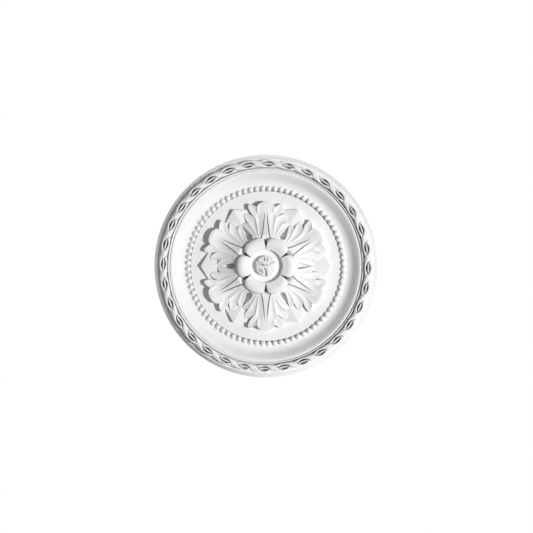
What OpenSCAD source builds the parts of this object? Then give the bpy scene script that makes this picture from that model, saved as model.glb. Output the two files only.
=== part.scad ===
// Ceiling rose, cast in one piece.
// The relief is drawn facing up from the ceiling plane and turned over at the end:
// the flat back then lies at z = 0 facing +Z, and the relief hangs below it.
// Lengths are in millimetres, angles in degrees.

/* [Plate] */
// Overall diameter
rose_d = 280; // [262:1:360]
// Thickness of the flat field behind the leaves
field_t = 9; // [6:0.5:14]
// Height of the square outer edge against the ceiling
edge_h = 5; // [3:0.5:8]

/* [Rim] */
// Height of the rim's flat bed above the ceiling
rim_h = 21; // [17:0.5:28]
// Width of the stepped outer side, from the edge to the bed
side_w = 7.5; // [6:0.25:12]
// Width of the flat bed that carries the ribbon
bed_w = 12.5; // [11:0.25:18]
// Width of the narrow fillet at the top of the cove
fillet_w = 1.25; // [0.75:0.25:3]
// Step between the bed and that fillet
fillet_step = 1.2; // [0.6:0.1:2]
// Width of the hollow cove
cove_w = 13.75; // [10:0.25:20]
// Depth of the cove's hollow behind its chord
cove_sag = 2.6; // [1.5:0.1:3.5]
// Width of the gentle slope at the foot of the cove
apron_w = 5; // [3:0.25:9]
// Height of that slope above the field
apron_h = 1.6; // [0.8:0.1:3]

/* [Ribbon] */
// Width of the twisted ribbon
ribbon_w = 9.8; // [8.5:0.1:11]
// Height of its crest above the bed
ribbon_h = 4.2; // [3:0.1:4.6]
// Length of one twist along the ring
twist_l = 25.1; // [20:0.1:32]
// Length of the eye between two twists
eye_l = 13.3; // [10:0.1:15]
// Width of the eye
eye_w = 6.2; // [4:0.1:7]
// Thickness of the rod seen through the eyes
rod_d = 2.4; // [1.6:0.1:3]

/* [Beads] */
// Diameter of one bead
bead_d = 7; // [5:0.1:9]
// Gap between two beads
bead_gap = 0.65; // [0.3:0.05:2]
// How far a bead's centre lies above the field
bead_lift = 1.4; // [0.5:0.1:2.5]
// How far the beads tuck into the slope
bead_tuck = 1; // [0:0.1:2]

/* [Rosette] */
// Distance from the centre to a leaf's tip
leaf_r = 80.6; // [64:0.1:86]
// Height of a leaf above the field where it leaves the flower
leaf_h = 13.5; // [9:0.5:18]
// Depth of the flutes in a leaf's lobes
flute_d = 1.6; // [0.5:0.1:2.5]
// Width of the round end of the hole between two leaves
hole_w = 8.2; // [5:0.1:10]
// Width of a leaf's midrib at the flower
rib_w = 11.6; // [8:0.1:14]
// Depth of the grooves beside the midrib
groove_d = 1.3; // [0.5:0.1:2]
// Distance from the centre to a sepal's point
sepal_r = 81.6; // [66:0.1:88]
// Height of a sepal's ridge above the field
sepal_h = 3.6; // [2:0.1:6]

/* [Flower] */
// Distance from the centre to a petal's outer edge
petal_r = 36.6; // [30:0.1:42]
// Height of a petal's crest above the field
petal_h = 22.5; // [16:0.5:28]
// Gap between two petals at their outer edge
petal_gap = 4; // [2:0.1:6]
// Diameter of the button in the middle
button_d = 26.4; // [18:0.1:32]
// Height of the button's top above the field
button_h = 20.5; // [14:0.5:26]
// Width of the cuts that part the button
cut_w = 1.4; // [0.8:0.1:2.5]

/* [Hidden] */
$fn = 96;
over = 1;                       // how deep one shape is sunk into another
rose_r = rose_d / 2;
bed_r = rose_r - side_w;        // outer edge of the bed
fillet_r = bed_r - bed_w;       // outer edge of the narrow fillet
cove_r = fillet_r - fillet_w;   // top of the cove
cove_top = rim_h - fillet_step;
apron_r = cove_r - cove_w;      // foot of the cove
field_r = apron_r - apron_w;
ribbon_r = bed_r - ribbon_w / 2;
twist_n = round(2 * PI * ribbon_r / twist_l);
bead_ring_r = field_r - bead_d / 2 + bead_tuck;
bead_n = round(2 * PI * bead_ring_r / (bead_d + bead_gap));

leaf_n = 6;
half = 180 / leaf_n;            // half of the sector that one leaf fills
root_r = 30;                    // where the leaves start, under the petals
seam_a = 0.35;                  // angle left open beside the seam of two leaves
flower_in_r = 20.6;             // inner edge of the petals
flower_seat = field_t + leaf_h - 3;

// Notches and tips of a leaf's lobes: [share of leaf_r, share of the half sector]
notches = [[0.931, 0.281], [0.752, 0.389], [0.701, 0.727], [0.702, 0.985]];
tips = [[1, 0], [0.981, 0.557], [0.865, 0.745], [0.754, 0.887]];
roots = [0.44, 0.62, 0.77, 0.80];   // where the ridges below the notches start, in shares of half

// Height of the leaf above the field along the radius, in shares of leaf_r and leaf_h
leaf_rise = [[0.37, 1], [0.45, 0.97], [0.56, 0.74], [0.70, 0.62], [0.85, 0.76],
             [0.95, 0.80], [1, 0.66]];

function polar(r, a) = [r * cos(a), r * sin(a)];
function spot(p) = polar(p[0] * leaf_r, p[1] * half);
function mix(a, b, t) = a * (1 - t) + b * t;
function flip(p) = [p[0], -p[1]];

// The hole between two leaves: a round end, drawn out to a point on the seam
hole_r = hole_w / 2;
hole_c = 0.532 * leaf_r;
hole_turn = acos(hole_r / (notches[3][0] * leaf_r - hole_c));
hole_side = 90 + asin(hole_r / hole_c);
function hole_edge(b) =
    polar(hole_c + hole_r * cos(b), half) + hole_r * sin(b) * [sin(half), -cos(half)];

// A lobe's outline is half an ellipse on the line between its two notches
function lobe_arc(i, f) =
    let (a = spot(notches[i - 1]), b = spot(notches[i]), m = (a + b) / 2, t = spot(tips[i]))
    m - (b - a) / 2 * cos(f) + (t - m) * sin(f);

// One column of a leaf: [root angle, point on the neck, point on the outline, flute share]
function lobe_cols(i, turns) =
    let (a = spot(notches[i - 1]), b = spot(notches[i]))
    [for (f = turns)
        let (neck = mix(a, b, (1 - cos(f)) / 2))
        [mix(roots[i - 1], roots[i], f / 180) * half, neck, lobe_arc(i, max(3, min(177, f))), sin(f)]];

rib_a = asin(rib_w / 2 / petal_r);
first_cols =
    let (n = spot(notches[0]), rise = leaf_r - n[0])
    [for (k = [[0, 0, 0], [8, 1, -1], [16, 1.08, 0.3], [45, 1.25, 1], [90, 0, 0]])
        let (neck = [n[0], n[1] * sin(k[0])])
        [k[0] == 90 ? roots[0] * half : rib_a * k[1], neck, neck + [rise * cos(min(87, k[0])), 0], k[2]]];

// The last lobe runs on from its tip down the side of the hole
last_cols =
    let (a = spot(notches[2]), b = hole_edge(hole_side),
         rim = [lobe_arc(3, 45), lobe_arc(3, 90), lobe_arc(3, 135), lobe_arc(3, 177), hole_edge(hole_turn)],
         n = len(rim) + 1)
    concat([for (i = [1:n - 1])
        [mix(roots[2], roots[3], i / n) * half, mix(a, b, i / n), rim[i - 1], sin(180 * i / n)]],
        [[roots[3] * half, b, b, 0]]);
under_cols =
    [for (b = [130, 160])
        let (p = hole_edge(b))
        [mix(roots[3], 1, (b - hole_side) / (180 - hole_side)) * half, p, p, 0]];
seam_col = let (p = polar(hole_c - hole_r, half - seam_a)) [half - seam_a, p, p, 0];

half_cols = concat(first_cols, lobe_cols(1, [30, 70, 110, 150, 180]),
    lobe_cols(2, [45, 90, 135, 180]), last_cols, under_cols, [seam_col]);
leaf_cols = concat(
    [for (i = [len(half_cols) - 1:-1:1]) let (c = half_cols[i]) [-c[0], flip(c[1]), flip(c[2]), c[3]]],
    half_cols);

// Height of the leaf at a point p; flute is the column's share, near 1 in a flute's middle
function leaf_z(p, flute, edge) =
    let (s = norm(p) / leaf_r, out = max(0, abs(atan2(p[1], p[0])) / half - 0.3))
    field_t + leaf_h * lookup(s, leaf_rise) * (1 - 0.42 * out * max(0, s - 0.4) / 0.5)
    - (flute < 0 ? groove_d : flute_d * flute) * min(1, (1.05 - s) * 3) - 1.4 * edge;

core_rows = 4;
lobe_rows = 2;
function leaf_column(c) =
    let (whole = norm(c[2] - c[1]) < 0.01, core = whole ? core_rows + lobe_rows : core_rows)
    concat(
        [for (j = [0:core])
            let (p = mix(polar(root_r, c[0]), c[1], pow(j / core, 0.85)))
            [p[0], p[1], leaf_z(p, c[3], 0)]],
        whole ? [] :
        [for (j = [1:lobe_rows])
            let (p = mix(c[1], c[2], j / lobe_rows))
            [p[0], p[1], leaf_z(p, c[3] * (1 - j / lobe_rows), j == lobe_rows ? 1 : 0)]]);

// A closed solid under a sheet of quads given by rows of points, with a flat bottom at z
module sheet_solid(cols, bottom) {
    n = len(cols);
    m = len(cols[0]);
    top = [for (c = cols, p = c) p];
    ring = concat([for (i = [0:n - 1]) i * m], [for (j = [1:m - 1]) (n - 1) * m + j],
                  [for (i = [n - 2:-1:0]) i * m + m - 1], [for (j = [m - 2:-1:1]) j]);
    k = len(ring);
    low = [for (q = ring) [top[q][0], top[q][1], bottom]];
    polyhedron(
        points = concat(top, low),
        faces = concat(
            [for (i = [0:n - 2], j = [0:m - 2], f = [0, 1])
                let (a = i * m + j)
                f == 0 ? [a, a + m, a + m + 1] : [a, a + m + 1, a + 1]],
            [for (i = [0:k - 1], f = [0, 1])
                let (j = (i + 1) % k)
                f == 0 ? [ring[j], ring[i], n * m + i] : [ring[j], n * m + i, n * m + j]],
            [[for (i = [k - 1:-1:0]) n * m + i]]),
        convexity = 8);
}

module body() {
    chord_c = [(apron_r + cove_r) / 2, (field_t + apron_h + cove_top) / 2];
    chord = [cove_w, cove_top - field_t - apron_h];
    cove_cr = (pow(norm(chord) / 2, 2) + pow(cove_sag, 2)) / (2 * cove_sag);
    normal = [-chord[1], chord[0]] / norm(chord);
    cove_c = chord_c + normal * (cove_cr - cove_sag);
    difference() {
        rotate_extrude() polygon([
            [0, 0], [rose_r, 0], [rose_r, edge_h],
            [rose_r - side_w / 3, edge_h + 1.2], [rose_r - side_w * 0.36, edge_h + 2.6],
            [rose_r - side_w * 0.48, mix(edge_h, rim_h, 0.32)],
            [rose_r - side_w * 0.68, mix(edge_h, rim_h, 0.58)],
            [rose_r - side_w * 0.84, mix(edge_h, rim_h, 0.76)],
            [rose_r - side_w * 0.86, rim_h - 1.4], [bed_r, rim_h],
            [fillet_r, rim_h], [fillet_r, cove_top], [cove_r, cove_top],
            [apron_r, field_t + apron_h], [field_r, field_t], [0, field_t]]);
        rotate_extrude() translate(cove_c) circle(r = cove_cr, $fn = 200);
    }
}

module eye() {
    lens_r = (pow(eye_l / 2, 2) + pow(eye_w / 2, 2)) / eye_w;
    intersection() {
        for_side(-1, lens_r);
        for_side(1, lens_r);
    }
}

module for_side(side, lens_r)
    translate([side * (lens_r - eye_w / 2), 0, rim_h])
        cylinder(r = lens_r, h = 2 * ribbon_h);

module ribbon_ring() {
    tube_r = (pow(ribbon_w / 2, 2) + pow(ribbon_h, 2)) / (2 * ribbon_h);
    step_a = 360 / twist_n;
    difference() {
        rotate_extrude() translate([ribbon_r, rim_h + ribbon_h - tube_r]) circle(r = tube_r);
        for (i = [0:twist_n - 1]) rotate(i * step_a) translate([ribbon_r, 0, 0]) {
            eye();
            for (s = [-1, 1]) translate([s * ribbon_w * 0.3, s * (eye_l / 2 + 0.6), rim_h + ribbon_h])
                rotate(s * -18) rotate([0, 45, 0]) cube([1.3, 3.4, 5.4], center = true);
        }
    }
    rotate_extrude() translate([ribbon_r, rim_h + rod_d / 3]) circle(d = rod_d);
}

module beads()
    for (i = [0:bead_n - 1]) rotate((i + 0.5) * 360 / bead_n)
        translate([bead_ring_r, 0, field_t + bead_lift]) sphere(d = bead_d);

module sepals() {
    top = concat([[0, 0, field_t + sepal_h]],
        [for (i = [0:2 * leaf_n - 1])
            let (r = i % 2 == 0 ? sepal_r : sepal_r * cos(half),
                 z = field_t + (i % 2 == 0 ? 0.78 : 0.45) * sepal_h,
                 p = polar(r, i * half))
            [p[0], p[1], z]]);
    n = 2 * leaf_n;
    low = [for (i = [1:n]) [top[i][0], top[i][1], field_t - over]];
    polyhedron(
        points = concat(top, low),
        faces = concat(
            [for (i = [1:n]) [0, i % n + 1, i]],
            [for (i = [1:n]) [i, i % n + 1, n + i % n + 1, n + i]],
            [[for (i = [1:n]) n + i]]));
}

module leaf()
    sheet_solid([for (c = leaf_cols) leaf_column(c)], field_t - 2 * over);

module petal() {
    across = 8;
    along = 6;
    rise = [[0, 0.80], [0.2, 0.93], [0.42, 1], [0.65, 0.96], [0.85, 0.84], [1, 0.62]];
    open_a = asin(petal_gap / 2 / petal_r);
    sheet_solid(
        [for (i = [0:across])
            let (u = 2 * i / across - 1, r_out = petal_r * (1 - 0.09 * pow(abs(u), 5)))
            [for (j = [0:along])
                let (v = j / along, p = polar(mix(flower_in_r, r_out, v),
                                              u * (half - 0.2 - open_a * v)))
                [p[0], p[1], field_t + petal_h * (lookup(v, rise) - 0.10 * pow(abs(u), 3) * (0.4 + v))]]],
        flower_seat);
}

// The solid heart under the flower, which carries the petals and the button
module hub()
    translate([0, 0, field_t - over])
        cylinder(r = petal_r - 1.5, h = flower_seat + 0.5 - field_t + over);

module button() {
    r = button_d / 2;
    foot = field_t + leaf_h;
    difference() {
        rotate_extrude() polygon(concat(
            [[0, flower_seat - over], [flower_in_r + over, flower_seat - over],
             [flower_in_r + over, foot - 1], [r * 1.4, foot - 1.5], [r * 1.18, foot]],
            [for (a = [20:14:90]) [r * 1.06 * cos(a), foot + (button_h - leaf_h) * sin(a)]]));
        for (a = [35, 150, 275]) rotate(a)
            translate([r * 0.55, 0, field_t + button_h]) cube([r * 0.8, cut_w, 3.2], center = true);
    }
    translate([0, 0, field_t + button_h - 0.5]) sphere(r = r * 0.2);
}

module ceiling_rose() {
    color("whitesmoke") rotate([180, 0, 0]) {
        body();
        ribbon_ring();
        beads();
        sepals();
        hub();
        for (i = [0:leaf_n - 1]) {
            rotate((2 * i + 1) * half) leaf();
            rotate(2 * i * half) petal();
        }
        button();
    }
}

ceiling_rose();
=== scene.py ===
# A round ceiling rose, cast in one piece and primed white.
# Each piece is modelled in millimetres with its relief facing up,
# then scaled and turned over so that it hangs below the ceiling plane.
import bpy
import bmesh
import math
from mathutils import Matrix, Vector


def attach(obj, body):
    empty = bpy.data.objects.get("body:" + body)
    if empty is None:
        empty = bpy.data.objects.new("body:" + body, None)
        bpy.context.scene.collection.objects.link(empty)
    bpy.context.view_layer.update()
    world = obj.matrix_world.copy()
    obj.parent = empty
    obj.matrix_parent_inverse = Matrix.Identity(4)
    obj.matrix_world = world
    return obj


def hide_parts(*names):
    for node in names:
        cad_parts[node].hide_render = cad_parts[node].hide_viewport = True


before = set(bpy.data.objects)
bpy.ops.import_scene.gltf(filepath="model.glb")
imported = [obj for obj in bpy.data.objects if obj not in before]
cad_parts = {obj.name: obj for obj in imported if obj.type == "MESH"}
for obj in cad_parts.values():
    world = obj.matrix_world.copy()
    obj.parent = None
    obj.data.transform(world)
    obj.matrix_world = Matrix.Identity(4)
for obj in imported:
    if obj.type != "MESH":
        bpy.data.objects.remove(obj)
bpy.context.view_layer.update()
scene = bpy.context.scene
mergeDistance = 0.002  # millimetres
print("frame read,", len(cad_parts), "CAD node")


def mix(a, b, t):
    return a + (b - a) * t


def clamp(x, low=0.0, high=1.0):
    return max(low, min(high, x))


def smoothStep(a, b, x):
    t = clamp((x - a) / (b - a))
    return t * t * (3 - 2 * t)


def polar(radius, degrees):
    a = math.radians(degrees)
    return Vector((radius * math.cos(a), radius * math.sin(a), 0))


def curveAt(knots, x):
    # a smooth curve through a few given heights
    if x <= knots[0][0]:
        return knots[0][1]
    if x >= knots[-1][0]:
        return knots[-1][1]
    i = max(k for k in range(len(knots) - 1) if knots[k][0] <= x)

    def slope(k):
        a = knots[max(0, k - 1)]
        b = knots[min(len(knots) - 1, k + 1)]
        return (b[1] - a[1]) / (b[0] - a[0])

    (x0, y0), (x1, y1) = knots[i], knots[i + 1]
    w = x1 - x0
    t = (x - x0) / w
    return ((2 * t**3 - 3 * t**2 + 1) * y0 + (t**3 - 2 * t**2 + t) * w * slope(i)
            + (3 * t**2 - 2 * t**3) * y1 + (t**3 - t**2) * w * slope(i + 1))


def arch(t, top, keepLow, keepHigh, power):
    # height across a rounded strap, t from -1 to 1; keep is the share left at each edge
    shape = max(0.0, 1 - abs(t) ** power) ** (1 / power)
    keep = keepHigh if t > 0 else keepLow
    return top * (keep + (1 - keep) * shape)


def turnCopies(bm, count):
    # the same form repeated round the centre
    everything = bm.verts[:] + bm.edges[:] + bm.faces[:]
    bmesh.ops.spin(bm, geom=everything, cent=(0, 0, 0), axis=(0, 0, 1), dvec=(0, 0, 0),
                   angle=2 * math.pi * (count - 1) / count, steps=count - 1, use_duplicate=True)
    bmesh.ops.remove_doubles(bm, verts=bm.verts, dist=mergeDistance)


def turnProfile(profile, steps):
    # a line of radius and height pairs, turned once round the centre
    bm = bmesh.new()
    points = [bm.verts.new((r, 0, h)) for r, h in profile]
    edges = [bm.edges.new(pair) for pair in zip(points, points[1:])]
    bmesh.ops.spin(bm, geom=points + edges, cent=(0, 0, 0), axis=(0, 0, 1), dvec=(0, 0, 0),
                   angle=2 * math.pi, steps=steps, use_merge=True)
    return bm


def dropWalls(bm, height):
    # walls from the open edges down to one height; gives the new open edges
    rims = [e for e in bm.edges if e.is_boundary]
    lower = bmesh.ops.extrude_edge_only(bm, edges=rims)["geom"]
    for v in lower:
        if isinstance(v, bmesh.types.BMVert):
            v.co.z = height
    return [e for e in lower if isinstance(e, bmesh.types.BMEdge) and e.is_boundary]


def gridSheet(columns, rows, place):
    # a grid whose points are then moved one by one
    bm = bmesh.new()
    bmesh.ops.create_grid(bm, x_segments=columns, y_segments=rows, size=0.5)
    for v in bm.verts:
        i = round((v.co.x + 0.5) * columns)
        j = round((v.co.y + 0.5) * rows)
        v.co = place(i, j)
    return bm


def finishPiece(name, bm, material, sharpAngle=40):
    bmesh.ops.remove_doubles(bm, verts=bm.verts, dist=mergeDistance)
    bmesh.ops.recalc_face_normals(bm, faces=bm.faces)
    bmesh.ops.scale(bm, vec=(0.001, 0.001, 0.001), verts=bm.verts)
    bmesh.ops.rotate(bm, cent=(0, 0, 0), matrix=Matrix.Rotation(math.pi, 3, "X"), verts=bm.verts)
    mesh = bpy.data.meshes.new(name)
    bm.to_mesh(mesh)
    bm.free()
    mesh.shade_smooth()
    mesh.set_sharp_from_angle(angle=math.radians(sharpAngle))
    mesh.materials.append(material)
    piece = bpy.data.objects.new(name, mesh)
    scene.collection.objects.link(piece)
    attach(piece, "root")
    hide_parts("ceiling_rose")
    print(name, len(mesh.polygons), "faces")


primer = {
    "colour": (0.79, 0.79, 0.785),
    "shade": (0.76, 0.76, 0.755),
    "shadeSpread": (0.35, 0.65),     # parts of the noise that take the shade and the colour
    "roughness": 0.62,
    "specular": 0.25,
    "grain": 2600.0,      # scale of the fine roughcast
    "grainDetail": 2,
    "cloud": 18.0,        # scale of the soft change of tone
    "cloudDetail": 4,
    "bump": 0.04,
    "bumpDepth": 0.0002,
    "paintedRecessShade": (0.36, 0.36, 0.355),   # painted shade: a darker colour put into the narrow recesses, where shade falls
    "paintedShadeReach": 0.0042,           # how near two walls are before the painted shade shows
    "paintedShadeSpread": (0.15, 0.46),
    "paintedShadeSamples": 8,
}


def primerMaterial():
    material = bpy.data.materials.new("whitePrimer")
    material.use_nodes = True
    nodes = material.node_tree.nodes
    links = material.node_tree.links
    shader = nodes["Principled BSDF"]
    shader.inputs["Roughness"].default_value = primer["roughness"]
    shader.inputs["Specular IOR Level"].default_value = primer["specular"]
    where = nodes.new("ShaderNodeTexCoord")
    cloud = nodes.new("ShaderNodeTexNoise")
    cloud.inputs["Scale"].default_value = primer["cloud"]
    cloud.inputs["Detail"].default_value = primer["cloudDetail"]
    tone = nodes.new("ShaderNodeValToRGB")
    tone.color_ramp.elements[0].position = primer["shadeSpread"][0]
    tone.color_ramp.elements[0].color = (*primer["shade"], 1)
    tone.color_ramp.elements[1].position = primer["shadeSpread"][1]
    tone.color_ramp.elements[1].color = (*primer["colour"], 1)
    grain = nodes.new("ShaderNodeTexNoise")
    grain.inputs["Scale"].default_value = primer["grain"]
    grain.inputs["Detail"].default_value = primer["grainDetail"]
    bump = nodes.new("ShaderNodeBump")
    bump.inputs["Strength"].default_value = primer["bump"]
    bump.inputs["Distance"].default_value = primer["bumpDepth"]
    links.new(where.outputs["Object"], cloud.inputs["Vector"])
    links.new(where.outputs["Object"], grain.inputs["Vector"])
    links.new(cloud.outputs["Fac"], tone.inputs["Fac"])
    # painted shade: ambient occlusion darkens the base colour in narrow recesses and creases, standing in
    # for the shade that falls there
    paintedRecessShade = nodes.new("ShaderNodeAmbientOcclusion")
    paintedRecessShade.samples = primer["paintedShadeSamples"]
    paintedRecessShade.inputs["Distance"].default_value = primer["paintedShadeReach"]
    paintedShadeMask = nodes.new("ShaderNodeMapRange")
    paintedShadeMask.interpolation_type = "SMOOTHSTEP"
    paintedShadeMask.inputs["From Min"].default_value = primer["paintedShadeSpread"][0]
    paintedShadeMask.inputs["From Max"].default_value = primer["paintedShadeSpread"][1]
    paintedShadeBlend = nodes.new("ShaderNodeMix")
    paintedShadeBlend.data_type = "RGBA"
    paintedShadeBlend.inputs["A"].default_value = (*primer["paintedRecessShade"], 1)
    links.new(paintedRecessShade.outputs["AO"], paintedShadeMask.inputs["Value"])
    links.new(paintedShadeMask.outputs["Result"], paintedShadeBlend.inputs["Factor"])
    links.new(tone.outputs["Color"], paintedShadeBlend.inputs["B"])
    links.new(paintedShadeBlend.outputs["Result"], shader.inputs["Base Color"])
    links.new(grain.outputs["Fac"], bump.inputs["Height"])
    links.new(bump.outputs["Normal"], shader.inputs["Normal"])
    return material


plate = {
    "radius": 140.0,
    "field": 9.0,         # thickness behind the leaves
    "rim": 21.0,          # height of the bed under the ribbon
    "edge": 8.6,          # height of the square outer edge
    "chamfer": 0.6,       # along the edge of the flat back
    # the stepped and hollowed outer side: distance in from the edge, height above it
    "outerSide": ((0.1, 0.6), (0.4, 1.2), (1.8, 2.8), (2.3, 3.5), (2.5, 4.2), (2.6, 5.6), (2.8, 6.3),
                  (3.2, 6.9), (4.6, 8.5), (5.1, 8.9), (5.6, 9.0), (6.0, 8.7)),
    # the channel under the ribbon and the round fillet inside it: radius, height from the rim
    "ribbonBed": ((133.4, -3.6), (122.4, -2.6), (122.3, -0.5), (122.0, 0), (121.6, 0.1), (121.2, 0),
                  (120.9, -0.3)),
    # the crease between that fillet and the cove: radius, height from the top of the cove
    "crease": ((120.8, -1.2), (119.6, -1.2), (119.4, -0.3)),
    "coveRadius": 101.0,  # where the cove begins
    "coveStep": 0.6,      # its foot, above the field
    # slope that each part of the cove ends at, its width and its steps
    "hollow": (46, 9.4, 14),
    "slope": (40, 5.4, 4),
    "swell": (3, 3.0, 6),
    # the bed of the beads and the groove inside them: radius, height above the field
    "beadBed": ((99.2, 0.5), (98.2, 0), (96.6, 0), (96.0, -1.5), (94.5, -1.5), (93.9, 0)),
    "hub": 2.4,           # height of the raised middle under the leaves
    # radius, share of that height
    "hubSlope": ((56, 0), (52, 1 / 6), (47, 1 / 2), (43, 5 / 6), (39, 1), (0, 1)),
    "steps": 360,
}


def sweepArc(start, fromAngle, toAngle, run, count):
    # an arc that covers a horizontal run while its slope changes
    a0 = math.radians(fromAngle)
    a1 = math.radians(toAngle)
    radius = run / (math.sin(a1) - math.sin(a0))
    points = []
    for k in range(1, count + 1):
        a = mix(a0, a1, k / count)
        points.append((start[0] + radius * (math.sin(a) - math.sin(a0)),
                       start[1] + radius * (math.cos(a0) - math.cos(a))))
    return points


def makeBody(material):
    outer = plate["radius"]
    edge = plate["edge"]
    field = plate["field"]
    rim = plate["rim"]
    chamfer = plate["chamfer"]
    cove = [(plate["coveRadius"], field + plate["coveStep"])]
    angle = 0
    for part in ("hollow", "slope", "swell"):
        toAngle, run, count = plate[part]
        cove += sweepArc(cove[-1], angle, toAngle, run, count)
        angle = toAngle
    top = cove[-1][1]
    profile = [(0, 0), (outer - chamfer, 0), (outer, chamfer), (outer, edge)]
    profile += [(outer - inward, edge + up) for inward, up in plate["outerSide"]]
    profile += [(radius, rim + up) for radius, up in plate["ribbonBed"]]
    profile += [(radius, top + up) for radius, up in plate["crease"]]
    profile += cove[::-1]
    profile += [(radius, field + up) for radius, up in plate["beadBed"]]
    profile += [(radius, field + share * plate["hub"]) for radius, share in plate["hubSlope"]]
    finishPiece("roseBody", turnProfile(profile, plate["steps"]), material, 35)


ribbon = {
    "radius": 127.9,
    "halfWidth": 4.9,
    "twists": 32,
    "turn": -1.2,         # degrees that the first eye stands off the axis
    "waist": 0.74,        # share of the half width left where the band is narrowest
    "waistAt": 0.11,      # share of a twist from there to the strand's middle
    "crest": 4.2,         # height above the bed where a strand is widest
    "lip": 3.1,           # and beside an eye
    "eyeHalfWidth": 2.95,
    "eyeEnd": 0.215,      # share of a twist from the strand's middle to the eye's end
    "eyeDepth": 3.4,      # how far the eye is cut below the bed
    "rodHalfWidth": 1.45,
    "rodShare": 0.6,      # the most of an eye's width that the rod fills
    "rodTop": 4.6,
    # the crease over a strand's tail: how far it lies from the band's middle line, in half
    # widths, before and after the strand's middle
    "creaseHigh": 0.7,
    "creaseLow": 0.3,
    "creaseRun": 0.1,     # share of a twist that it takes to either side of the strand's middle
    "tailFrom": 0.3,      # share of a twist from the strand's middle to where a tail begins to sink
    "tailDrop": 0.3,      # share of its height that it loses
    "meeting": 0.5,       # share of the height left where two strands meet
    "squareness": 2.3,    # of a strand's rounded section, where 2 is an ellipse
    "wallDrop": 6.0,      # how far its walls are sunk below the bed
    "columns": 56,        # along one twist
    "rows": (9, 4, 5, 4, 9),   # across: strand, slit, rod, slit, strand
}


def bandEdge(x):
    # outer edge of the band in half widths, x from -0.5 to 0.5 along one strand
    waist = ribbon["waist"]
    away = ribbon["waistAt"]
    if x <= -away:
        return 1 - (1 - waist) * ((x + 0.5) / (0.5 - away)) ** 2.2
    return waist + (1 - waist) * math.sin(min(1, 1.35 * (x + away) / (0.5 + away)) * math.pi / 2)


def eyeHalf(x):
    end = ribbon["eyeEnd"]
    share = (0.5 - abs(x)) / (0.5 - end)
    return max(0.0, ribbon["eyeHalfWidth"] / ribbon["halfWidth"] * (1 - share**2))


def innerLine(x):
    # upper limit of the middle rows: the eye's edge, then the crease over the tail
    end = ribbon["eyeEnd"]
    run = ribbon["creaseRun"]
    if abs(x) >= end:
        return eyeHalf(x)
    if x < -run:
        return ribbon["creaseHigh"] * (x + end) / (end - run)
    if x < run:
        return mix(ribbon["creaseHigh"], ribbon["creaseLow"], (x + run) / (2 * run))
    return mix(ribbon["creaseLow"], 0, (x - run) / (end - run))


def ribbonPoint(i, j):
    half = ribbon["halfWidth"]
    end = ribbon["eyeEnd"]
    run = ribbon["creaseRun"]
    x = i / ribbon["columns"] - 0.5
    high = innerLine(x)
    low = -innerLine(-x)
    if abs(x) >= end:
        rod = min(ribbon["rodHalfWidth"] / half, ribbon["rodShare"] * high)
        marks = [-bandEdge(-x), low, -rod, rod, high, bandEdge(x)]
    else:
        marks = [-bandEdge(-x), low, mix(low, high, 0.3), mix(low, high, 0.7), high, bandEdge(x)]
    part = 0
    step = j
    while part < 4 and step > ribbon["rows"][part]:
        step -= ribbon["rows"][part]
        part += 1
    share = step / ribbon["rows"][part]
    if part in (0, 4):
        share = (1 - math.cos(math.pi * share)) / 2
    y = mix(marks[part], marks[part + 1], share)
    top = mix(ribbon["crest"], ribbon["lip"], smoothStep(0.05, 0.5, abs(x)))
    inEye = abs(x) > end
    keep = 0.0 if inEye else ribbon["meeting"] * smoothStep(0, 0.05, end - abs(x))
    if inEye and part in (1, 2, 3):
        wide = max(0.02, marks[3] - marks[2]) / 2
        across = abs(y) / wide
        height = mix(-ribbon["eyeDepth"], 0.7 * ribbon["crest"], clamp((0.5 - abs(x)) / (0.5 - end)) ** 2)
        if across < 1:
            height = mix(height, ribbon["rodTop"], math.sqrt(1 - across**3 * 0.96))
    else:
        lowEdge = marks[0]
        highEdge = marks[5]
        keepLow = keepHigh = 0.0
        tail = 1 - ribbon["tailDrop"] * smoothStep(ribbon["tailFrom"], run, abs(x))
        if x < -run:
            if part == 4:
                lowEdge = marks[4]
                keepLow = keep
                top *= tail
            else:
                highEdge = marks[1] if inEye else marks[4]
                keepHigh = keep
        elif x > run:
            if part == 0:
                highEdge = marks[1]
                keepHigh = keep
                top *= tail
            else:
                lowEdge = marks[4] if inEye else marks[1]
                keepLow = keep
        middle = (lowEdge + highEdge) / 2
        wide = max(0.01, (highEdge - lowEdge) / 2)
        across = clamp((y - middle) / wide, -1, 1)
        height = arch(across, top, keepLow, keepHigh, ribbon["squareness"])
    angle = ribbon["turn"] + 360 / ribbon["twists"] * (x + 0.5)
    point = polar(ribbon["radius"] + half * y, angle)
    point.z = plate["rim"] + height
    return point


def makeRibbon(material):
    bm = gridSheet(ribbon["columns"], sum(ribbon["rows"]), ribbonPoint)
    turnCopies(bm, ribbon["twists"])
    bmesh.ops.bridge_loops(bm, edges=dropWalls(bm, plate["rim"] - ribbon["wallDrop"]))
    finishPiece("ribbonTwist", bm, material, 50)


beads = {
    "ringRadius": 97.5,
    "count": 80,
    "diameter": 7.1,
    "height": 4.4,        # above the bead's own middle
    "lift": -0.2,         # from the field to that middle
    "segments": (24, 14),
}


def makeBeads(material):
    bm = bmesh.new()
    around, upward = beads["segments"]
    bmesh.ops.create_uvsphere(bm, u_segments=around, v_segments=upward, radius=beads["diameter"] / 2)
    start = polar(beads["ringRadius"], 180 / beads["count"])
    start.z = plate["field"] + beads["lift"]
    bmesh.ops.scale(bm, vec=(1, 1, 2 * beads["height"] / beads["diameter"]), verts=bm.verts)
    bmesh.ops.translate(bm, vec=start, verts=bm.verts)
    turnCopies(bm, beads["count"])
    finishPiece("beadRing", bm, material, 60)


sepals = {
    "points": 6,
    "radius": 81.6,
    "tipHeight": 6.6,      # above the field
    "ridgeFall": 0.11,     # towards the centre
    "roofFall": 0.16,      # to either side of the ridge
    "base": 1.0,           # height that they start at, inside the plate
    "rounding": 0.5,       # of the ridges and edges
}


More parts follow.
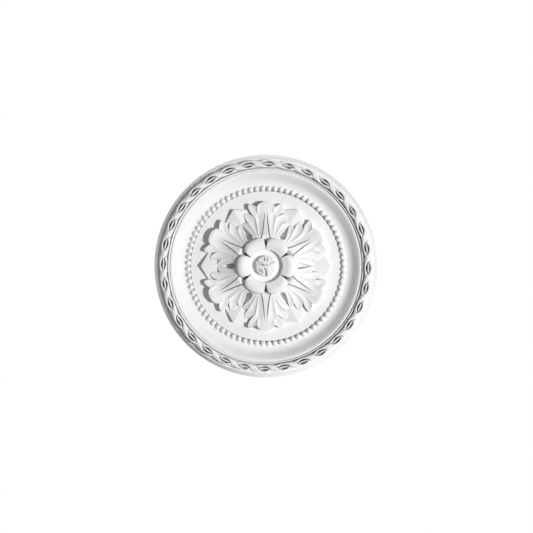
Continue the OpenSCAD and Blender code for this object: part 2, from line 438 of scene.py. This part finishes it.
def makeSepals(material):
    half = 180 / sepals["points"]
    bm = bmesh.new()
    bmesh.ops.create_circle(bm, cap_ends=True, cap_tris=True, segments=2 * sepals["points"], radius=1)
    for v in bm.verts:
        if v.co.length < 0.5:
            v.co.z = plate["field"] + sepals["tipHeight"] - sepals["ridgeFall"] * sepals["radius"]
            continue
        k = round(math.degrees(math.atan2(v.co.y, v.co.x)) / half)
        corner = k % 2 == 0
        radius = sepals["radius"] * (1 if corner else math.cos(math.radians(half)))
        v.co = polar(radius, k * half)
        height = sepals["tipHeight"]
        if not corner:
            inward = sepals["radius"] - radius * math.cos(math.radians(half))
            aside = radius * math.sin(math.radians(half))
            height -= sepals["ridgeFall"] * inward + sepals["roofFall"] * aside
        v.co.z = plate["field"] + height
    bmesh.ops.contextual_create(bm, geom=dropWalls(bm, sepals["base"]))
    bmesh.ops.recalc_face_normals(bm, faces=bm.faces)
    crest = [e for e in bm.edges if min(v.co.z for v in e.verts) > sepals["base"] + 0.5]
    bmesh.ops.bevel(bm, geom=crest, offset=sepals["rounding"], segments=3, profile=0.5, affect="EDGES",
                    material=-1)
    finishPiece("sepalStar", bm, material, 30)


leaf = {
    "count": 6,
    "tip": 80.6,
    # along and across the midrib, from the centre of the rose
    "notches": ((73.4, 11.2), (59.4, 12.6), (52.2, 20.6)),
    "lobeTips": ((75.4, 22.6), (65.2, 26.4), (54.2, 27.4)),
    "holePoint": (56.6, 29.65),    # radius, degrees
    "holeCentre": 42.2,
    "holeRadius": 3.5,
    "rootRadius": 30.0,
    # for the ridges below the notches and the hole: root, in shares of half a leaf, and inward bend
    "rootAngles": (0.44, 0.51, 0.65, 0.82),
    "bends": (0.08, 0.02, 0.13, 0.10),
    # distance from the centre, height above the field
    "rise": ((30, 9.0), (33, 12.4), (36, 15.7), (39, 15.3), (44, 13.1), (54, 10.0), (63, 8.9),
             (71, 9.2), (77, 10.0), (81, 9.6)),
    "sideFall": 0.42,     # how steeply the height falls towards the far lobes
    "flute": 1.9,         # depth
    "fluteSpan": (34, 62),    # where the flutes begin, and where they are full
    "tipSpan": (62, 76),      # where those beside the midrib run out
    "tipFlute": 0.6,      # share of that depth beside the midrib
    "droop": (1.0, 1.8, 1.8),    # of each lobe's tip
    "roundover": 0.7,
    "holeRoundover": 1.8,
    # distance from the centre, half the midrib's width
    "ribHalf": ((30, 5.3), (35, 5.9), (38, 5.0), (43, 4.0), (54, 2.6), (63, 1.8), (71, 1.4), (81, 1.1)),
    "ribEnd": 74.5,
    "groove": 2.8,        # beside the midrib
    "grooveWidth": 1.5,
    "grooveFade": 24,     # length over which it runs out
    "sunk": 2.0,          # how far its walls go below the field
    "coreRows": 30,       # from the root to the necks of the lobes
    "lobeRows": 14,       # from there to the edge
    "ribShares": (0, 0.35, 0.7, 1.0),    # where the midrib's columns lie
    "grooveColumns": 6,
    "tipColumns": 13,
    "lobeColumns": (22, 20),
    "lastLobeTurn": 15,   # degrees from column to column round the last lobe
    "holeColumns": (5, 6, 8),    # along its straight side, round to its widest, then to the seam
}
seamAngle = 180 / leaf["count"]    # from a midrib to the line where two leaves meet


def holeEdge(turn):
    # a point on the round end of the hole; 0 looks outwards, 180 to the centre
    a = math.radians(turn)
    radius = leaf["holeRadius"]
    point = polar(leaf["holeCentre"] + radius * math.cos(a), seamAngle)
    return point + radius * math.sin(a) * polar(1, seamAngle - 90)


def lobeEdge(start, end, tip, turn):
    # half an ellipse that stands on the line between two notches
    a = math.radians(turn)
    middle = (start + end) / 2
    return middle - (end - start) / 2 * math.cos(a) + (tip - middle) * math.sin(a)


def hump(share):
    # 0 at both ends of a flute and 1 in its middle
    return max(0.0, math.sin(math.pi * share)) ** 1.4


def shares(count):
    # equal steps that end at 1
    return [k / count for k in range(1, count + 1)]


def leafColumns():
    # half a leaf from its midrib to the seam, and the number of the column where the hole begins
    notches = [Vector((*p, 0)) for p in leaf["notches"]]
    tips = [Vector((*p, 0)) for p in leaf["lobeTips"]]
    last = polar(*leaf["holePoint"])
    sideTurn = 90 + math.degrees(math.asin(leaf["holeRadius"] / leaf["holeCentre"]))
    side = holeEdge(sideTurn)
    roots = [seamAngle * share for share in leaf["rootAngles"]]
    bends = leaf["bends"]
    columns = []
    for share in leaf["ribShares"]:
        columns.append({"kind": "rib", "share": share, "flute": 0})
    for share in shares(leaf["grooveColumns"]):
        columns.append({"kind": "groove", "share": share, "flute": 0})
    for share in shares(leaf["tipColumns"]):
        columns.append({"kind": "tip", "share": share, "flute": hump(share / 2), "local": hump(share)})
    for n, count in enumerate(leaf["lobeColumns"]):
        for k in range(1, count + 1):
            share = k / count
            a, b = notches[n], notches[n + 1]
            column = {"kind": "lobe", "root": mix(roots[n], roots[n + 1], share),
                      "neck": mix(a, b, (1 - math.cos(math.pi * share)) / 2),
                      "edge": lobeEdge(a, b, tips[n], 180 * share),
                      "bend": mix(bends[n], bends[n + 1], share), "flute": hump(share),
                      "droop": leaf["droop"][n] * math.sin(math.pi * share) ** 0.7 if k < count else 0}
            if n == 0:
                column["local"] = hump(share)
                column["flute"] = hump(0.5 + share / 2)
            columns.append(column)
    step = leaf["lastLobeTurn"]
    rim = [lobeEdge(notches[2], last, tips[2], turn) for turn in range(step, 181, step)]
    ends = len(rim)
    holeStart = len(columns) + ends - 1
    tangent = math.degrees(math.acos(leaf["holeRadius"] / (last.length - leaf["holeCentre"])))
    straight, bowed, inward = leaf["holeColumns"]
    rim += [mix(last, holeEdge(tangent), share) for share in shares(straight)]
    rim += [holeEdge(mix(tangent, sideTurn, share)) for share in shares(bowed)]
    for k, point in enumerate(rim, 1):
        share = k / len(rim)
        columns.append({"kind": "lobe", "root": mix(roots[2], roots[3], share),
                        "neck": mix(notches[2], side, share), "edge": point,
                        "bend": mix(bends[2], bends[3], share), "flute": hump(share),
                        "droop": leaf["droop"][2] * math.sin(math.pi * k / ends) ** 0.7 if k < ends else 0})
    for share in shares(inward):
        point = holeEdge(mix(sideTurn, 180, share))
        columns.append({"kind": "seam", "root": mix(roots[3], seamAngle, share), "neck": point,
                        "edge": point, "flute": 0})
    return columns, holeStart


def leafSpot(column, row):
    # plan position of one point of the half leaf, and how far it lies into the lobe
    core = leaf["coreRows"]
    t = 1 - (1 - min(row, core) / core) ** 1.4
    into = math.sin(math.pi / 2 * max(0, row - core) / leaf["lobeRows"])
    start = leaf["rootRadius"]
    neckU, neckV = leaf["notches"][0]
    if column["kind"] in ("rib", "groove", "tip"):
        u = mix(start, neckU, t)
        width = leaf["grooveWidth"] * mix(0.6, 1, smoothStep(neckU, 46, u))
        ribLine = curveAt(leaf["ribHalf"], u)
        if column["kind"] == "rib":
            v = column["share"] * (ribLine - width / 2)
        elif column["kind"] == "groove":
            v = ribLine - width / 2 + column["share"] * width
        else:
            root = math.radians(seamAngle * leaf["rootAngles"][0])
            ridge = mix(start * math.sin(root), neckV, t)
            ridge *= 1 - leaf["bends"][0] * math.sin(math.pi * t)
            inner = ribLine + width / 2
            v = mix(inner, max(ridge, inner + 0.2), column["share"])
        across = min(0.999, v / neckV)
        u += into * (leaf["tip"] - neckU) * math.sqrt(1 - across**2)
        if column["kind"] != "tip":
            u -= (1 - t) * (start - math.sqrt(start**2 - v**2))
        return Vector((u, v, 0)), into
    point = mix(polar(start, column["root"]), column["neck"], t)
    if column["kind"] == "lobe":
        point.y *= 1 - column["bend"] * math.sin(math.pi * t)
    return mix(point, column["edge"], into) if into else point, into


def distanceTo(line, point):
    best = 1e9
    for a, b in zip(line, line[1:]):
        along = b - a
        t = clamp((point - a).dot(along) / max(1e-9, along.length_squared))
        best = min(best, (a + along * t - point).length)
    return best


def roundOff(gap, radius):
    # how far a rounded edge has fallen at this distance from the outline
    if gap >= radius:
        return 0.0
    return radius - math.sqrt(radius**2 - (radius - gap) ** 2)


def leafHeight(point, column, into, lobeLine, holeLine):
    radius = point.length
    aside = abs(math.degrees(math.atan2(point.y, point.x))) / seamAngle
    lower = leaf["sideFall"] * max(0, aside - 0.3) * max(0, radius / leaf["tip"] - 0.4) / 0.5
    height = curveAt(leaf["rise"], radius) * (1 - lower)
    fade = mix(0.12, 1, smoothStep(*leaf["fluteSpan"], radius)) * (1 - 0.35 * into**2)
    share = column["flute"]
    if "local" in column:
        notch = Vector((*leaf["notches"][0], 0))
        share = mix(share, column["local"], smoothStep(10, 3, (point - notch).length))
        fade *= mix(leaf["tipFlute"], 1, smoothStep(4, 16, point.y))
    if column["kind"] == "tip":
        fade *= mix(1, 0.3, smoothStep(*leaf["tipSpan"], radius))
    height -= leaf["flute"] * share * fade + column.get("droop", 0) * into**1.5
    if column["kind"] == "groove":
        ending = smoothStep(leaf["ribEnd"], leaf["ribEnd"] - leaf["grooveFade"], radius)
        height -= leaf["groove"] * ending * math.sin(math.pi * column["share"])
    height -= roundOff(distanceTo(lobeLine, point), leaf["roundover"])
    return height - roundOff(distanceTo(holeLine, point), leaf["holeRoundover"])


def makeLeaves(material):
    columns, holeStart = leafColumns()
    rows = leaf["coreRows"] + leaf["lobeRows"]
    edgeLine = [leafSpot(c, rows)[0] for c in columns]
    lobeLine = edgeLine[:holeStart + 1]
    holeLine = edgeLine[holeStart:]
    half = []
    for column in columns:
        line = []
        for row in range(rows + 1):
            point, into = leafSpot(column, row)
            point.z = plate["field"] + leafHeight(point, column, into, lobeLine, holeLine)
            line.append(point)
        half.append(line)
    last = len(half) - 1

    def place(i, j):
        side = i - last
        point = half[abs(side)][j]
        return Vector((point.x, point.y if side >= 0 else -point.y, point.z))

    bm = gridSheet(2 * last, rows, place)
    bmesh.ops.remove_doubles(bm, verts=bm.verts, dist=mergeDistance)
    bmesh.ops.contextual_create(bm, geom=dropWalls(bm, plate["field"] - leaf["sunk"]))

    def onSeam(v):
        return abs(abs(math.degrees(math.atan2(v.co.y, v.co.x))) - seamAngle) < 0.01

    seamWalls = [f for f in bm.faces if all(onSeam(v) for v in f.verts)]
    bmesh.ops.delete(bm, geom=seamWalls, context="FACES")
    turned = Matrix.Rotation(math.radians(seamAngle), 3, "Z")
    bmesh.ops.rotate(bm, cent=(0, 0, 0), matrix=turned, verts=bm.verts)
    turnCopies(bm, leaf["count"])
    finishPiece("acanthusLeaves", bm, material, 50)


flower = {
    "petals": 6,
    "radius": 36.6,
    "inner": 20.4,
    "height": 22.3,
    "rise": ((0, 0.88), (0.12, 0.905), (0.3, 0.945), (0.5, 0.985), (0.7, 0.99), (0.88, 0.94), (1, 0.86)),
    "gapAngle": 4.9,      # half the gap between two petals at their outer edge
    "slit": 0.05,         # and at their inner edge
    "cornerCut": 0.10,    # share of the radius lost at a petal's corners
    "sideFall": 0.07,     # how far its sides fall, as a share of the height
    "roundover": 1.0,
    "seat": 14.0,         # height at which a petal's underside lies
    "across": 44,
    "along": 34,
}


def petalPoint(i, j):
    half = 180 / flower["petals"]
    side = 2 * i / flower["across"] - 1
    side = math.sin(side * math.pi / 2) * 0.35 + side * 0.65
    v = j / flower["along"]
    v = mix(v, math.sin(v * math.pi / 2), 0.5)
    outer = flower["radius"] * (1 - flower["cornerCut"] * abs(side) ** 5)
    radius = mix(flower["inner"], outer, v)
    gap = flower["gapAngle"] * clamp((radius - 20) / 16)
    angle = side * (half - flower["slit"] - gap)
    height = flower["height"] * curveAt(flower["rise"], v)
    height -= flower["sideFall"] * flower["height"] * abs(side) ** 3 * (0.3 + 0.9 * v)
    point = polar(radius, angle)
    aside = (1 - abs(side)) * math.radians(half - gap) * radius
    gapTo = min(outer - radius, aside, radius - flower["inner"])
    height -= roundOff(gapTo, flower["roundover"]) * (0.5 + 0.5 * v)
    point.z = plate["field"] + height
    return point


def makePetals(material):
    bm = gridSheet(flower["across"], flower["along"], petalPoint)
    bmesh.ops.contextual_create(bm, geom=dropWalls(bm, flower["seat"]))
    turnCopies(bm, flower["petals"])
    finishPiece("petals", bm, material, 50)


button = {
    "top": 21.3,          # above the field, at the edge of the face
    "crown": 0.6,         # rise of the face to its middle
    "faceRadius": 11.0,
    "faceFall": 1.2,      # from its middle to that radius
    "faceRings": 30,
    "ringGap": 0.36,
    "foot": 14.2,         # bottom of the trough
    # radius, height from the top for the lip and from the foot for the trough
    "lip": ((11.3, -0.7), (11.8, -0.85), (12.2, -1.1), (12.45, -1.5), (12.6, -2.2)),
    "trough": ((12.8, 0.7), (13.1, 0.3), (13.8, 0), (15.4, 0), (17.6, 0), (19.4, 0.2), (22.0, 0.4)),
    "sunkTo": (22.0, 2),  # radius, height above the field of its lower edge
    "carvedTo": 12.5,     # radius of the carved face
    # cuts in the top: angle, from, to, width, depth
    "cuts": ((158, 3.2, 12.0, 2.0, 3.2), (30, 3.0, 12.0, 1.4, 1.9), (271, 4.5, 12.5, 2.2, 3.6),
             (101, 6.8, 10.8, 1.5, 2.2), (78, 6.0, 10.2, 1.5, 2.2), (126, 6.5, 9.5, 1.2, 1.2),
             (222, 7.0, 11.2, 1.5, 2.2), (205, 8.0, 11.4, 1.2, 1.6), (238, 8.0, 11.6, 1.2, 1.6),
             (322, 6.5, 10.5, 1.2, 1.1), (55, 8.0, 11.0, 1.2, 0.9)),
    # angle, distance from the centre, radius, depth
    "pits": ((45, 1.6, 1.3, 2.4), (245, 3.4, 1.5, 2.6), (150, 2.4, 1.1, 1.6)),
    "steps": 200,
}


def makeButton(material):
    field = plate["field"]
    top = field + button["top"]
    foot = field + button["foot"]
    crown = top + button["crown"]
    fall = button["faceFall"]
    rings = [button["ringGap"] * k for k in range(1, button["faceRings"] + 1)]
    profile = [(0, crown)]
    profile += [(radius, crown - fall * (radius / button["faceRadius"]) ** 2.4) for radius in rings]
    profile += [(radius, top + up) for radius, up in button["lip"]]
    profile += [(radius, foot + up) for radius, up in button["trough"]]
    radius, up = button["sunkTo"]
    profile.append((radius, field + up))
    bm = turnProfile(profile, button["steps"])
    bmesh.ops.remove_doubles(bm, verts=bm.verts, dist=mergeDistance)
    for v in bm.verts:
        radius = v.co.xy.length
        if radius > button["carvedTo"] or v.co.z < foot + 2:    # only the face is carved
            continue
        depth = 0.0
        for angle, near, far, width, deep in button["cuts"]:
            direction = polar(1, angle)
            along = v.co.x * direction.x + v.co.y * direction.y
            aside = abs(v.co.y * direction.x - v.co.x * direction.y)
            inside = smoothStep(near - 0.6, near + 0.6, along) * smoothStep(far + 0.6, far - 0.6, along)
            depth = max(depth, deep * inside * smoothStep(width * 0.8, width * 0.2, aside))
        for angle, away, wide, deep in button["pits"]:
            gap = (v.co.xy - polar(away, angle).xy).length
            depth = max(depth, deep * smoothStep(wide, wide * 0.3, gap))
        v.co.z -= depth
    bmesh.ops.contextual_create(bm, geom=[e for e in bm.edges if e.is_boundary])
    finishPiece("button", bm, material, 50)


studio = {
    "distance": 2.0,      # from the lens to the ceiling plane
    "wide": 0.6729,       # what the frame takes in at that plane
    "aside": (0.0009, 0.00055),   # of the lens from the rose's axis
    "floorDrop": 3.4,
    "floorRadius": 4.0,
    "floorTone": 0.8,
    "ambient": 0.15,
    # name, turn round the rose, height below the ceiling plane, distance, size, power
    "lights": (("key", -9.0, 51.5, 3.8, 0.42, 147.0), ("topEdge", 104.0, -30.0, 1.1, 0.6, 11.5),
               ("leftEdge", 185.0, -30.0, 1.1, 0.6, 7.5), ("footEdge", -80.0, -30.0, 1.1, 0.6, 6.5)),
}


def areaLight(name, place, size, power):
    light = bpy.data.lights.new(name, "AREA")
    light.shape = "DISK"
    light.size = size
    light.energy = power
    obj = bpy.data.objects.new(name, light)
    obj.location = place
    scene.collection.objects.link(obj)
    obj.rotation_euler = (-place).to_track_quat("-Z", "Y").to_euler()    # it looks at the rose


def makeCamera():
    camera = bpy.data.objects.new("camera", bpy.data.cameras.new("camera"))
    scene.collection.objects.link(camera)
    camera.location = (*studio["aside"], -studio["distance"])
    camera.rotation_euler = (math.pi, 0, 0)
    camera.data.sensor_width = 36
    camera.data.lens = camera.data.sensor_width * studio["distance"] / studio["wide"]
    camera.data.clip_start = 0.05
    camera.data.clip_end = 50
    scene.camera = camera


def makeFloor():
    bm = bmesh.new()
    bmesh.ops.create_circle(bm, cap_ends=True, segments=64, radius=studio["floorRadius"])
    bmesh.ops.translate(bm, vec=(0, 0, -studio["floorDrop"]), verts=bm.verts)
    mesh = bpy.data.meshes.new("floor")
    bm.to_mesh(mesh)
    bm.free()
    floor = bpy.data.objects.new("floor", mesh)
    scene.collection.objects.link(floor)
    pale = bpy.data.materials.new("paleFloor")
    pale.use_nodes = True
    shader = pale.node_tree.nodes["Principled BSDF"]
    shader.inputs["Base Color"].default_value = (*[studio["floorTone"]] * 3, 1)
    shader.inputs["Roughness"].default_value = 0.9
    mesh.materials.append(pale)


def makeLights():
    scene.view_settings.view_transform = "Standard"
    world = bpy.data.worlds.new("studio")
    scene.world = world
    world.use_nodes = True
    nodes = world.node_tree.nodes
    links = world.node_tree.links
    nodes.clear()
    out = nodes.new("ShaderNodeOutputWorld")
    seen = nodes.new("ShaderNodeBackground")
    seen.inputs["Strength"].default_value = 1.0
    fill = nodes.new("ShaderNodeBackground")
    fill.inputs["Strength"].default_value = studio["ambient"]
    choose = nodes.new("ShaderNodeMixShader")
    path = nodes.new("ShaderNodeLightPath")
    for background in (seen, fill):
        background.inputs["Color"].default_value = (1, 1, 1, 1)
    links.new(path.outputs["Is Camera Ray"], choose.inputs["Fac"])
    links.new(fill.outputs["Background"], choose.inputs[1])
    links.new(seen.outputs["Background"], choose.inputs[2])
    links.new(choose.outputs["Shader"], out.inputs["Surface"])
    for name, turnTo, below, reach, size, power in studio["lights"]:
        turn = math.radians(turnTo)
        height = math.radians(below)
        away = Vector((math.cos(height) * math.cos(turn), -math.cos(height) * math.sin(turn),
                       -math.sin(height)))
        areaLight(name, reach * away, size, power)


white = primerMaterial()
makeBody(white)
makeRibbon(white)
makeBeads(white)
makeSepals(white)
makeLeaves(white)
makePetals(white)
makeButton(white)
makeCamera()
makeFloor()
makeLights()
print("stage set")
